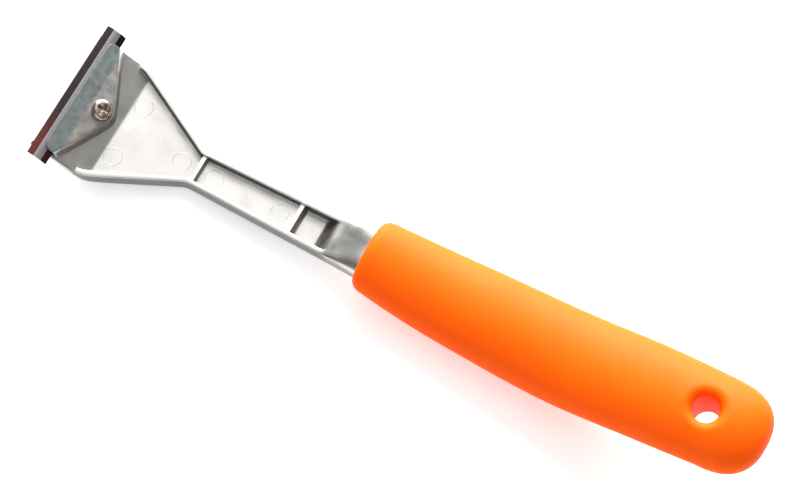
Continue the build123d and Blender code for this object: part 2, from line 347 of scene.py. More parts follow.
def block_ring(rows: tuple[int, int], columns: np.ndarray, width: int, first: int) -> np.ndarray:
    """Vertex numbers round a block of a grid, in order.

    Args:
        rows: First and last row of the block.
        columns: The block's columns, in order.
        width: Number of vertices in a row of the whole grid.
        first: Number of the grid's first vertex.

    Returns:
        Vertex numbers, each once.
    """
    low, high = rows
    down = np.arange(low, high)
    top = low * width + columns[:-1]
    right = down * width + columns[-1]
    bottom = high * width + columns[:0:-1]
    left = (down[::-1] + 1) * width + columns[0]
    return first + np.concatenate([top, right, bottom, left])


# ---------------------------------------------------------------- materials


class Tint(Enum):
    """Base colours, linear, of the object's own finishes, of painted shade and painted reflections on some
    of its surfaces, and of the studio.
    """

    CAST = (0.435, 0.424, 0.402)
    CAST_DULL = (0.375, 0.361, 0.338)
    # Painted shade: a darker base colour for the rims' walls of the casting.
    CAST_WALL_SHADE = (0.190, 0.189, 0.184)
    GRIP = (0.96, 0.103, 0.0014)
    GRIP_DEEP = (0.95, 0.086, 0.0008)
    # Painted dark reflection on the blade's bevels, reddish towards one end; the dark colour also draws
    # fine scratches on the flat.
    DARK_SCRATCH_AND_BEVEL_REFLECTION = (0.024, 0.019, 0.019)
    BEVEL_REFLECTION_RED = (0.090, 0.022, 0.018)
    FLAT = (0.40, 0.38, 0.37)
    SHEET = (0.36, 0.415, 0.405)
    SHEET_DULL = (0.30, 0.335, 0.325)
    # Painted reflection: a warmer tone for the clamp plate's panel behind the crease.
    SHEET_PANEL_REFLECTION = (0.44, 0.39, 0.355)
    NICKEL = (0.42, 0.355, 0.28)
    NICKEL_DULL = (0.22, 0.18, 0.14)
    FLOOR = (0.86, 0.86, 0.85)

    @property
    def rgba(self) -> tuple[float, float, float, float]:
        """The colour with full alpha."""
        return (*self.value, 1.0)


class Shader:
    """A node material with a Principled surface, built one node at a time."""

    def __init__(self, name: str) -> None:
        """Starts the material.

        Args:
            name: Name of the material.
        """
        self.material = bpy.data.materials.new(name)
        self.material.use_nodes = True
        self.tree = self.material.node_tree
        self.surface = self.tree.nodes["Principled BSDF"]
        self.place = self.tree.nodes.new("ShaderNodeTexCoord").outputs["Object"]

    def set(self, **values: float | tuple) -> None:
        """Sets constant sockets of the surface; an underscore stands for a space."""
        for name, value in values.items():
            self.surface.inputs[name.replace("_", " ")].default_value = value

    def link(self, source: bpy.types.NodeSocket, socket: str) -> None:
        """Feeds a surface socket."""
        self.tree.links.new(source, self.surface.inputs[socket])

    def stretched(self, scale: tuple[float, float, float]) -> bpy.types.NodeSocket:
        """Object coordinates multiplied by a scale on each axis.

        Args:
            scale: The three factors.

        Returns:
            The scaled coordinates.
        """
        node = self.tree.nodes.new("ShaderNodeMapping")
        node.inputs["Scale"].default_value = scale
        self.tree.links.new(self.place, node.inputs["Vector"])
        return node.outputs["Vector"]

    def noise(self, scale: float, detail: float = 4.0,
              along: tuple[float, float, float] | None = None) -> bpy.types.NodeSocket:
        """Fractal noise on Object coordinates.

        Args:
            scale: Waves in a metre.
            detail: Number of octaves.
            along: Scale on each axis, for a stretched pattern.

        Returns:
            The noise value, near 0.5.
        """
        node = self.tree.nodes.new("ShaderNodeTexNoise")
        node.inputs["Scale"].default_value = scale
        node.inputs["Detail"].default_value = detail
        source = self.stretched(along) if along else self.place
        self.tree.links.new(source, node.inputs["Vector"])
        return node.outputs["Fac"]

    def spread(self, value: bpy.types.NodeSocket, low: float, high: float,
               to_low: float = 0.0, to_high: float = 1.0) -> bpy.types.NodeSocket:
        """Maps a value's range low to high onto another, clamped.

        Args:
            value: The value.
            low: Value that gives to_low.
            high: Value that gives to_high.
            to_low: Start of the new range.
            to_high: End of the new range.

        Returns:
            The mapped value.
        """
        node = self.tree.nodes.new("ShaderNodeMapRange")
        node.clamp = True
        settings = (("From Min", low), ("From Max", high), ("To Min", to_low), ("To Max", to_high))
        for name, setting in settings:
            node.inputs[name].default_value = setting
        self.tree.links.new(value, node.inputs["Value"])
        return node.outputs["Result"]

    def mix(self, share: bpy.types.NodeSocket, first: Tint | bpy.types.NodeSocket,
            second: Tint | bpy.types.NodeSocket) -> bpy.types.NodeSocket:
        """Mixes two colours.

        Args:
            share: How much of the second colour.
            first: A tint or a colour socket.
            second: A tint or a colour socket.

        Returns:
            The mixed colour.
        """
        node = self.tree.nodes.new("ShaderNodeMix")
        node.data_type = "RGBA"
        self.tree.links.new(share, node.inputs["Factor"])
        for index, colour in ((6, first), (7, second)):
            if isinstance(colour, Tint):
                node.inputs[index].default_value = colour.rgba
            else:
                self.tree.links.new(colour, node.inputs[index])
        return node.outputs[2]

    def attribute(self, name: str) -> bpy.types.NodeSocket:
        """Reads a number that the mesh carries at each vertex.

        Args:
            name: Name of the number.

        Returns:
            The number.
        """
        node = self.tree.nodes.new("ShaderNodeAttribute")
        node.attribute_name = name
        return node.outputs["Fac"]

    def bump(self, height: bpy.types.NodeSocket, distance: float, strength: float) -> None:
        """Roughens the surface.

        Args:
            height: Pattern of the height, 0 to 1.
            distance: Height of the whole pattern, in metres.
            strength: Share of it that shows.
        """
        node = self.tree.nodes.new("ShaderNodeBump")
        node.inputs["Distance"].default_value = distance
        node.inputs["Strength"].default_value = strength
        self.tree.links.new(height, node.inputs["Height"])
        self.link(node.outputs["Normal"], "Normal")


@dataclass(frozen=True)
class CastFinish:
    """Pale satin aluminium as it comes from the die: fine grain and faint cloudy flow marks, with painted
    shade on the rims' walls.
    """

    roughness: float = 0.29
    grain_mm: float = 1.3
    cloud_mm: float = 7.0

    def material(self) -> bpy.types.Material:
        """Builds the material."""
        shader = Shader("cast_aluminium")
        shader.set(Metallic=1.0, IOR=1.45)
        cloud = shader.noise(1 / (self.cloud_mm * METRES), 3.0)
        grain = shader.noise(1 / (self.grain_mm * METRES), 2.0)
        floor = shader.mix(shader.spread(cloud, 0.40, 0.75, 0.0, 0.6), Tint.CAST, Tint.CAST_DULL)
        # The rims' walls get the darker base colour: painted shade.
        shader.link(shader.mix(shader.attribute("rim"), floor, Tint.CAST_WALL_SHADE), "Base Color")
        matt = shader.spread(cloud, 0.3, 0.7, self.roughness - 0.04, self.roughness + 0.08)
        shader.link(matt, "Roughness")
        shader.bump(grain, 0.00002, 0.12)
        return shader.material


@dataclass(frozen=True)
class GripFinish:
    """Smooth orange moulding with a soft sheen and a very fine matt texture."""

    roughness: float = 0.45
    grain_mm: float = 0.25
    cloud_mm: float = 16.0

    def material(self) -> bpy.types.Material:
        """Builds the material."""
        shader = Shader("orange_grip")
        shader.set(Metallic=0.0, IOR=1.46)
        shader.set(Specular_IOR_Level=0.07)
        cloud = shader.noise(1 / (self.cloud_mm * METRES), 3.0)
        grain = shader.noise(1 / (self.grain_mm * METRES), 2.0)
        deep = shader.spread(cloud, 0.35, 0.75, 0.0, 0.5)
        shader.link(shader.mix(deep, Tint.GRIP, Tint.GRIP_DEEP), "Base Color")
        shader.link(shader.spread(grain, 0.3, 0.7, self.roughness, self.roughness + 0.07), "Roughness")
        shader.bump(grain, 0.000012, 0.25)
        return shader.material


@dataclass(frozen=True)
class BladeFinish:
    """Ground strip steel: bevels with a painted dark reflection, reddish towards one end, and a brighter
    ground flat.
    """

    scratch_mm: float = 0.12

    def material(self) -> bpy.types.Material:
        """Builds the material. The mesh carries bevel, 0 on the flat and 1 on the bevels, where the dark
        reflection is painted, and along.
        """
        shader = Shader("blade_steel")
        shader.set(Metallic=0.9, IOR=1.5)
        scratch = shader.noise(1 / (self.scratch_mm * METRES), 3.0, (1.0, 0.04, 1.0))
        along = shader.attribute("along")
        # Painted dark reflection on the bevels, reddish towards one end.
        bevel_reflection = shader.mix(shader.spread(along, 0.35, 0.08, 0.0, 1.0), Tint.DARK_SCRATCH_AND_BEVEL_REFLECTION, Tint.BEVEL_REFLECTION_RED)
        flat = shader.mix(shader.spread(scratch, 0.3, 0.7, 0.0, 0.35), Tint.FLAT, Tint.DARK_SCRATCH_AND_BEVEL_REFLECTION)
        shader.link(shader.mix(shader.attribute("bevel"), flat, bevel_reflection), "Base Color")
        shader.link(shader.spread(scratch, 0.3, 0.7, 0.22, 0.36), "Roughness")
        shader.bump(scratch, 0.000015, 0.3)
        return shader.material


@dataclass(frozen=True)
class SheetFinish:
    """Zinc-plated pressed sheet: cool, faintly mottled, with light handling marks, and a painted warmer
    reflection on the panel behind the crease.
    """

    roughness: float = 0.33

    def material(self) -> bpy.types.Material:
        """Builds the material."""
        shader = Shader("plated_sheet")
        shader.set(Metallic=0.9, IOR=1.5)
        mottle = shader.noise(420.0, 4.0)
        patch = shader.noise(95.0, 2.0)
        strip = shader.mix(shader.spread(patch, 0.40, 0.65, 0.0, 1.0), Tint.SHEET, Tint.SHEET_DULL)
        # The panel behind the crease gets a warmer tone: painted reflection.
        panel = shader.mix(shader.spread(patch, 0.40, 0.65, 0.0, 0.6), Tint.SHEET_PANEL_REFLECTION, Tint.SHEET)
        shader.link(shader.mix(shader.attribute("rear"), strip, panel), "Base Color")
        matt = shader.spread(mottle, 0.3, 0.7, self.roughness - 0.07, self.roughness + 0.1)
        shader.link(matt, "Roughness")
        shader.bump(mottle, 0.00002, 0.14)
        return shader.material


@dataclass(frozen=True)
class NickelFinish:
    """Warm nickel plating, polished, with fine turning marks."""

    roughness: float = 0.2

    def material(self) -> bpy.types.Material:
        """Builds the material."""
        shader = Shader("screw_nickel")
        shader.set(Metallic=1.0, IOR=1.5)
        wear = shader.noise(900.0, 4.0)
        dull = shader.spread(wear, 0.4, 0.7, 0.0, 0.8)
        shader.link(shader.mix(dull, Tint.NICKEL, Tint.NICKEL_DULL), "Base Color")
        shader.link(shader.spread(wear, 0.3, 0.7, self.roughness, self.roughness + 0.12), "Roughness")
        shader.bump(wear, 0.00001, 0.2)
        return shader.material


@dataclass(frozen=True)
class FloorFinish:
    """Plain pale matt floor, lit softly from below like a light table."""

    glow: float = 0.50

    def material(self) -> bpy.types.Material:
        """Builds the material."""
        shader = Shader("studio_floor")
        shader.set(Roughness=0.8)
        shader.set(Base_Color=Tint.FLOOR.rgba, Emission_Color=Tint.FLOOR.rgba, Emission_Strength=self.glow)
        return shader.material


def dress(piece: bpy.types.Object, finish: bpy.types.Material, body: str, node: str) -> None:
    """Gives a piece its material, its body and the node that it stands for.

    Args:
        piece: The piece.
        finish: Its material.
        body: The body that it moves with.
        node: The CAD node that it replaces.
    """
    piece.data.materials.clear()
    piece.data.materials.append(finish)
    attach(piece, body)
    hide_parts(node)
    LOG.info("%s: %d faces on %s, for %s", piece.name, len(piece.data.polygons), body, node)


# ---------------------------------------------------------------- head casting


@dataclass
class HeadCasting:
    """Die-cast head: front plate, platform, rims, channelled neck with cross ribs, and bolster."""

    front_half: float = 21.6
    shoulder_x: float = -28.8
    shoulder_round: float = 0.9
    neck_half: float = 6.1
    neck_end_half: float = 7.1
    neck_end_x: float = 50.5
    root_round: float = 0.25
    channel_front_half: float = 19.8
    channel_shoulder_x: float = -30.0
    channel_half: float = 4.6
    channel_root_x: float = -0.4
    channel_end_half: float = 5.4
    channel_root_round: float = 0.07
    channel_shoulder_round: float = 0.75
    platform_tilt_deg: float = 7.8
    floor_thick: float = 2.2
    lip_thick: float = 1.5
    rim_height: float = 3.2
    rim_start_s: float = 4.9
    rim_full_s: float = 4.0
    plate_length: float = 21.3
    rib_x: tuple[float, float] = (1.2, 36.8)
    rib_thick: float = 1.8
    rib_drop: float = 0.5
    rib_draft: float = 0.22
    pocket_drop: float = 0.9
    ramp_x: float = 45.5
    bolster_end_x: float = 63.6
    bolster_half: float = 8.9
    bolster_top: float = 4.4
    bolster_bottom: float = -5.1
    swell_lead: float = 2.5
    swell_run: float = 4.0
    mark_radius: float = 3.0
    mark_line: float = 0.16
    marks: tuple[tuple[float, float], ...] = (
        (-24.6, 9.8), (-24.6, -9.8), (-5.0, 0.0), (6.8, 0.0), (31.0, 0.0))
    seat_half: float = 21.0
    seat_height: float = 1.7
    seat_back_s: float = 13.85
    boss_radius: float = 4.2
    boss_bottom_n: float = -5.2
    boss_top_n: float = 1.2
    bore_radius: float = 1.8

    def outer_half(self, x: np.ndarray) -> np.ndarray:
        """Half width of the outer edge.

        Formula: the flare and the neck, whichever is wider, with rounded bends.

        Args:
            x: The stations.

        Returns:
            Half width at each X.
        """
        flare_slope = (self.front_half - self.neck_half) / -self.shoulder_x
        flare = self.neck_half - flare_slope * x
        share = np.clip(x / self.neck_end_x, 0, 1)
        neck = self.neck_half + (self.neck_end_half - self.neck_half) * share
        side = soft_max(flare, neck, 2 * self.root_round)
        return np.minimum(soft_min(side, self.front_half, self.shoulder_round), self.front_half)

    def channel_half_at(self, x: np.ndarray) -> np.ndarray:
        """Half width inside the rims, worked out as the outer edge is.

        Args:
            x: The stations.

        Returns:
            Half width at each X.
        """
        run = self.channel_root_x - self.channel_shoulder_x
        widening = self.channel_front_half - self.channel_half
        flare = self.channel_half + widening * (self.channel_root_x - x) / run
        share = np.clip((x - self.channel_root_x) / (self.neck_end_x - self.channel_root_x), 0, 1)
        neck = self.channel_half + (self.channel_end_half - self.channel_half) * share
        side = soft_max(flare, neck, 2 * self.channel_root_round)
        return soft_min(side, self.channel_front_half, self.channel_shoulder_round)

    def plain_floor(self, x: np.ndarray) -> np.ndarray:
        """Height of the floor with no ribs.

        Formula: plate, platform and neck, whichever is highest, with each bend slightly rounded.

        Args:
            x: The stations.

        Returns:
            Height at each X.
        """
        slope = math.tan(math.radians(self.platform_tilt_deg))
        plate = PLATE.bend_z + (PLATE.bend_x - x) * math.tan(math.radians(PLATE.tilt_deg))
        platform = PLATE.bend_z + (PLATE.bend_x - x) * slope
        neck = PLATE.bend_z + PLATE.bend_x * slope
        return soft_max(soft_max(platform, plate, 0.12), neck, 0.1)

    def floor(self, x: np.ndarray) -> np.ndarray:
        """Height of the channel's floor, with the cross ribs, the deep last cell and its ramp.

        Formula: the plain floor, lifted at each rib, lowered behind the last and raised up the ramp.

        Args:
            x: The stations.

        Returns:
            Height at each X.
        """
        base = self.plain_floor(x)
        rib_top = base + self.rim_height - self.rib_drop
        for middle in self.rib_x:
            inside = self.rib_thick / 2 - np.abs(x - middle)
            base = base + (rib_top - base) * smooth_step(-self.rib_draft, self.rib_draft, inside)
        start = self.rib_x[-1] + self.rib_thick / 2
        base = base - self.pocket_drop * smooth_step(start, start + self.pocket_drop, x)
        ramp = smooth_step(0.0, 1.0, (x - self.ramp_x) / (self.neck_end_x - self.ramp_x))
        return base + (self.rim_height + self.pocket_drop) * ramp

    def rim_top(self, x: np.ndarray) -> np.ndarray:
        """Height of the rims' top.

        Formula: level over the platform and neck, and run out to the floor on the plate.

        Args:
            x: The stations.

        Returns:
            Height at each X.
        """
        cos_tilt = math.cos(math.radians(PLATE.tilt_deg))
        s = (PLATE.bend_x - x) / cos_tilt
        rise = 1 - smooth_step(self.rim_full_s, self.rim_start_s, s)
        slope = math.tan(math.radians(self.platform_tilt_deg))
        flat = PLATE.bend_z + (PLATE.bend_x - np.minimum(x, 0.0)) * slope + self.rim_height
        floor = self.plain_floor(x)
        return floor + (soft_max(flat, floor, 0.05) - floor) * rise

    def underside(self, x: np.ndarray) -> np.ndarray:
        """Height of the underside.

        Formula: straight below the plate, platform and neck, with rounded bends.

        Args:
            x: The stations.

        Returns:
            Height at each X.
        """
        slope = math.tan(math.radians(self.platform_tilt_deg))
        tilt = math.radians(PLATE.tilt_deg)
        plate = PLATE.bend_z + (PLATE.bend_x - x) * math.tan(tilt) - self.floor_thick / math.cos(tilt)
        platform = PLATE.bend_z + (PLATE.bend_x - x) * slope - self.floor_thick
        neck = PLATE.bend_z + PLATE.bend_x * slope - self.floor_thick
        return soft_max(soft_max(platform, plate, 1.6), neck, 0.3)

    def stations(self) -> np.ndarray:
        """Chooses the sections: close together at bends, ribs and the ramp, and wider between.

        Returns:
            X of each section, from the nose.
        """
        front = PLATE.at(np.array(self.plate_length), 0.0, 0.0)[0]
        even = np.linspace(front, self.bolster_end_x, 190)
        crowded = [even]
        half = self.rib_thick / 2
        walls = [middle + side * half for middle in self.rib_x for side in (-1, 1)]
        for place in (PLATE.bend_x, 0.0, *self.rib_x, *walls):
            crowded.append(place + np.linspace(-0.45, 0.45, 9))
        crowded.append(np.linspace(PLATE.bend_x - 5.5, PLATE.bend_x, 24))
        crowded.append(np.linspace(PLATE.bend_x - 4.5, PLATE.bend_x - 3.4, 16))
        merged = np.unique(np.round(np.concatenate(crowded), 3))
        return merged[(merged >= front - 1e-6) & (merged <= self.bolster_end_x)]

    def section(self, x: np.ndarray) -> np.ndarray:
        """Right half of the closed section at each X, from the middle of the floor round to below it.

        Formula: floor, then a fillet, the rim's inner wall, its rounded top, the outer wall and the
        rounded lower corner, each a quarter circle between straight lines.

        Args:
            x: The stations.

        Returns:
            Points by station and place round the section.
        """
        floor, rim, under = self.floor(x), self.rim_top(x), self.underside(x)
        outer, inner = self.outer_half(x), self.channel_half_at(x)
        start, end = self.neck_end_x - self.swell_lead, self.bolster_end_x + self.swell_run
        swell = smooth_step(start, end, x) / smooth_step(start, end, np.array(self.bolster_end_x))
        outer = outer + swell * (self.bolster_half - self.neck_end_half)
        rim = rim + swell * (self.bolster_top - rim)
        floor = floor + swell * (self.bolster_top - floor)
        under = under + swell * (self.bolster_bottom - under)
        lip = smooth_step(-34.0, -46.0, x)
        under = under + lip * (self.floor_thick - self.lip_thick) / math.cos(math.radians(PLATE.tilt_deg))
        inner = inner * (1 - 0.45 * swell)
        top_round = np.minimum(0.4 + 3.4 * swell, (outer - inner) * 0.42 + 10 * swell)
        low_round = 0.5 + 3.3 * swell
        fillet = np.minimum(0.3, np.maximum(rim - floor, 0.0) * 0.45)
        inner_round = np.minimum(top_round, np.maximum(rim - floor, 0.0) * 0.45 + 1e-4)
        middle = np.linspace(0.0, 1.0, 9)[None, :]
        parts = [
            (middle * (inner - fillet)[:, None], floor[:, None] + 0 * middle),
            quarter(inner - fillet, floor + fillet, fillet, -math.pi / 2, 1.0),
            quarter(inner + inner_round, rim - inner_round, inner_round, math.pi, -1.0),
            quarter(outer - top_round, rim - top_round, top_round, math.pi / 2, -1.0),
            quarter(outer - low_round, under + low_round, low_round, 0.0, -1.0),
            ((1 - middle) * (outer - low_round)[:, None], under[:, None] + 0 * middle),
        ]
        y = np.concatenate([p[0] for p in parts], axis=1)
        z = np.concatenate([p[1] for p in parts], axis=1)
        tilt = math.radians(PLATE.tilt_deg)
        lean = smooth_step(-33.0, -44.0, x)[:, None]
        drop = self.plain_floor(x)[:, None] - z
        shift = -drop * lean * math.sin(tilt) * math.cos(tilt)
        return np.stack([x[:, None] + shift, y, z + drop * lean * math.sin(tilt) ** 2], axis=-1)

    def shell(self, skin: Skin) -> None:
        """Carries the section along the head and closes both ends."""
        right = self.section(self.stations())
        left = right[:, -2:0:-1] * np.array([1.0, -1.0, 1.0])
        loop = np.concatenate([right, left], axis=1)
        first = skin.add_grid(loop, wrap=True)
        rows, columns = loop.shape[:2]
        skin.cap(first + np.arange(columns))
        skin.cap(first + (rows - 1) * columns + np.arange(columns))

    def seat(self, skin: Skin) -> None:
        """Bed and stop under the blade: a rounded profile in S and N, carried across the plate."""
        bed_low = -0.4
        profile = np.array([
            (11.7, bed_low), (11.75, 0.02), (12.85, 1.95), (12.98, 2.05), (13.75, 2.05), (13.84, 1.98),
            (13.85, self.seat_height), (21.05, self.seat_height), (21.22, self.seat_height - 0.06),
            (21.28, self.seat_height - 0.2), (21.28, bed_low)])
        across = np.linspace(-1.0, 1.0, 41)[:, None]
        s = profile[None, :, 0] + 0 * across
        widening = (self.seat_half - 17.5) * np.clip((s - self.seat_back_s) / 1.75, 0, 1)
        half = np.where(s < self.seat_back_s - 0.001, 15.0, 17.5 + widening)
        end = 0.25 * np.clip((profile[None, :, 1] - 1.2) / 0.85, 0, 1)
        first = skin.add_grid(PLATE.at(s, across * (half - end), profile[None, :, 1] + 0 * across))
        rows, columns = len(across), len(profile)
        skin.cap(first + np.arange(columns))
        skin.cap(first + (rows - 1) * columns + np.arange(columns))
        low = first + np.arange(rows) * columns
        high = low + columns - 1
        skin.quads.append(np.stack([low[:-1], low[1:], high[1:], high[:-1]], axis=-1))

    def boss(self, skin: Skin) -> None:
        """Threaded boss: a profile in radius and height turned about the screw's axis, bore and all."""
        profile = np.array([
            (self.bore_radius, self.boss_top_n), (self.boss_radius - 0.3, self.boss_top_n),
            (self.boss_radius, self.boss_top_n - 0.3), (self.boss_radius, -1.9),
            (self.boss_radius + 0.05, -2.0), (self.boss_radius, -2.9), (self.boss_radius - 0.1, -4.6),
            (self.boss_radius - 0.25, -5.0), (self.boss_radius - 0.6, self.boss_bottom_n),
            (self.bore_radius + 0.4, self.boss_bottom_n), (self.bore_radius, self.boss_bottom_n + 0.4)])
        skin.quads.append(turned(skin, profile, TOOL.screw_s, closed=True))

    def ejector_marks(self, skin: Skin) -> None:
        """Fine raised rings: a small round section carried round a circle on the floor."""
        rows, columns = 64, 8
        around = np.linspace(0.0, 2 * math.pi, rows, endpoint=False)[:, None]
        section = np.linspace(0.0, 2 * math.pi, columns, endpoint=False)[None, :]
        for mark_x, mark_y in self.marks:
            radius = self.mark_radius + 0.5 * self.mark_line * np.cos(section)
            x = mark_x + radius * np.cos(around)
            y = mark_y + radius * np.sin(around)
            z = self.plain_floor(x) + 0.02 + 0.4 * self.mark_line * np.sin(section)
            start = skin.add_grid(np.stack([x, y, z], -1), wrap=True) + np.arange(columns)
            skin.bridge(start + (rows - 1) * columns, start)

    def build(self) -> None:
        """Makes and dresses the casting."""
        skin = Skin()
        self.shell(skin)
        self.seat(skin)
        self.boss(skin)
        self.ejector_marks(skin)
        piece = skin.piece("head_casting_skin")
        self.mark_wall_shade(piece.data)
        dress(piece, CastFinish().material(), "frame", "head_casting")

    def mark_wall_shade(self, mesh: bpy.types.Mesh) -> None:
        """Writes the number that the finish reads for the painted shade on the rims' walls: rim, 1 on the
        rims' walls and 0 elsewhere.

        Args:
            mesh: The casting's mesh.
        """
        x, y, z = TOOL.back(vertex_places(mesh)).T
        share = smooth_step(-0.25, 0.0, np.abs(y) - self.channel_half_at(x))
        share = share * smooth_step(-0.12, -0.4, z - self.rim_top(x))
        share = share * smooth_step(-PLATE.bend_x + 6.0, -PLATE.bend_x + 4.0, -x)
        write_values(mesh, "rim", share)


def turned(skin: Skin, profile: np.ndarray, s: float, closed: bool, around: int = 64) -> np.ndarray:
    """Turns a profile about an axis square to the front plate.

    Formula: each profile point's radius is carried round a circle, and its height is kept.

    Args:
        skin: Receives the vertices.
        profile: Rows of radius and height N.
        s: Where the axis meets the plate.
        closed: Whether the last profile point joins the first.
        around: Number of points round the circle.

    Returns:
        The faces, which the caller adds.
    """
    angle = np.linspace(0.0, 2 * math.pi, around, endpoint=False)[None, :]
    radius, height = profile[:, 0][:, None], profile[:, 1][:, None]
    points = PLATE.at(s + radius * np.cos(angle), radius * np.sin(angle), height + 0 * angle)
    first = skin.add_points(points)
    faces = grid_faces(len(profile), around, True) + first
    if closed:
        last = first + (len(profile) - 1) * around + np.arange(around)
        start = first + np.arange(around)
        seam = np.stack([last, np.roll(last, -1), np.roll(start, -1), start], -1)
        faces = np.concatenate([faces, seam])
    return faces


# ---------------------------------------------------------------- handle


@dataclass
class Handle:
    """Moulded handle: an arched oval bar with a flared hang hole near its rounded end."""

    line: tuple[tuple[float, float, float], ...] = (
        (67.0, 12.6, -0.2), (82.0, 13.8, -2.2), (106.0, 15.1, -2.8),
        (134.0, 15.9, -1.9), (162.0, 15.8, 4.5), (184.5, 15.1, 8.3))
    flatness: float = 0.64
    front_length: float = 4.0
    front_inset: float = 0.24
    front_rise: float = 0.7
    cap_length: float = 16.8
    cap_power: float = 2.5
    cap_rise: float = 0.9
    socket_share: float = 0.70
    hang_x: float = 181.0
    hang_z: float = 8.4
    hang_radius: float = 4.3
    hang_flare: float = 3.6
    hang_tilt_deg: float = 6.0
    around: int = 96
    patch_columns: int = 24
    patch_x: tuple[float, float] = (169.5, 192.5)

    def spine(self, x: np.ndarray) -> tuple[np.ndarray, np.ndarray]:
        """Half width and centre height at X, with the rounded front and end.

        Formula: the smooth line through the knots; ahead of it the width loses a quarter circle's
        share, and behind it the width follows a blunt superellipse to nothing.

        Args:
            x: The stations.

        Returns:
            Half width and centre height.
        """
        knots = np.array(self.line)
        inside = np.clip(x, knots[0, 0], knots[-1, 0])
        half, centre = smooth_line(knots, inside).T
        ahead = np.clip((knots[0, 0] - x) / self.front_length, 0.0, 1.0)
        behind = np.clip((x - knots[-1, 0]) / self.cap_length, 0.0, 1.0)
        half = half * (1 - self.front_inset * (1 - np.sqrt(1 - ahead**2)))
        half = half * (1 - behind**self.cap_power) ** (1 / self.cap_power)
        return half, centre + ahead * self.front_rise + behind * self.cap_rise

    def stations(self) -> tuple[np.ndarray, np.ndarray]:
        """Chooses the sections, from inside the socket to the tip.

        Returns:
            X of each section and the share of the handle's size that it has.
        """
        front_x = self.line[0][0] - self.front_length
        end_x = self.line[-1][0]
        turn = np.linspace(0.0, math.pi / 2, 9)
        rounding = front_x + self.front_length * (1 - np.cos(turn))
        socket_x = front_x + np.array([3.5, 1.2, 0.45, 0.12, 0.0])
        socket_share = self.socket_share + np.array([0.0, 0.0, 0.01, 0.035, 0.075])
        body = np.linspace(self.line[0][0], self.patch_x[0], 70)[1:]
        patch = np.linspace(*self.patch_x, self.patch_columns + 1)[1:]
        start = (self.patch_x[1] - end_x) / self.cap_length
        closing = np.linspace(math.asin(start), math.pi / 2, 26)[1:-1]
        cap = end_x + self.cap_length * np.sin(closing)
        x = np.concatenate([socket_x, rounding, body, patch, cap])
        share = np.concatenate([socket_share, np.ones(len(x) - len(socket_x))])
        return x, share

    def side(self, x: np.ndarray, y: np.ndarray, up: float) -> np.ndarray:
        """Height of the top (up 1) or bottom (up -1) of the plain handle at X and Y: an ellipse."""
        half, centre = self.spine(x)
        return centre + up * half * self.flatness * np.sqrt(np.clip(1 - (y / half) ** 2, 0, 1))

    def punch(self, skin: Skin, ring: np.ndarray, points: np.ndarray, up: float) -> np.ndarray:
        """Fills a block of the skin with rings that shrink from its edge to the flared bore.

        Formula: rings go straight from the edge to the mouth's circle, and then follow a quarter
        round of the flare: at angle t the radius is less by the flare times the sine of t and the
        surface is lower by the flare times one less the cosine of t.

        Args:
            skin: Receives the vertices and faces.
            ring: Vertex numbers round the block's edge.
            points: Their places.
            up: 1 for the top mouth, -1 for the bottom one.

        Returns:
            Vertex numbers of the innermost ring.
        """
        lean = math.tan(math.radians(self.hang_tilt_deg))
        mouth_z = self.side(np.array([self.hang_x]), np.array([0.0]), up)[0]
        centre_x = self.hang_x - lean * (mouth_z - self.hang_z)
        mouth = self.hang_radius + self.hang_flare
        angle = np.arctan2(points[:, 1], points[:, 0] - centre_x)
        circle = np.stack([centre_x + mouth * np.cos(angle), mouth * np.sin(angle)], -1)
        last = ring
        for share in np.linspace(0.0, 1.0, 6)[1:-1]:
            xy = points[:, :2] * (1 - share) + circle * share
            last = self.add_ring(skin, last, xy, up, 0.0)
        for t in np.linspace(0.0, math.pi / 2, 12):
            radius = mouth - self.hang_flare * math.sin(t)
            xy = np.stack([centre_x + radius * np.cos(angle), radius * np.sin(angle)], -1)
            last = self.add_ring(skin, last, xy, up, self.hang_flare * (1 - math.cos(t)))
        return last

    def add_ring(self, skin: Skin, last: np.ndarray, xy: np.ndarray, up: float,
                 drop: float) -> np.ndarray:
        """Adds one ring of a mouth and joins it to the last one.

        Args:
            skin: Receives the vertices and faces.
            last: Vertex numbers of the ring before.
            xy: Places of the new ring.
            up: 1 for the top mouth, -1 for the bottom one.
            drop: How far the ring lies inside the handle's surface.

        Returns:
            Vertex numbers of the new ring.
        """
        z = self.side(xy[:, 0], xy[:, 1], up) - up * drop
        first = skin.add_points(np.column_stack([xy, z]))
        ring = first + np.arange(len(xy))
        skin.bridge(last, ring)
        return ring

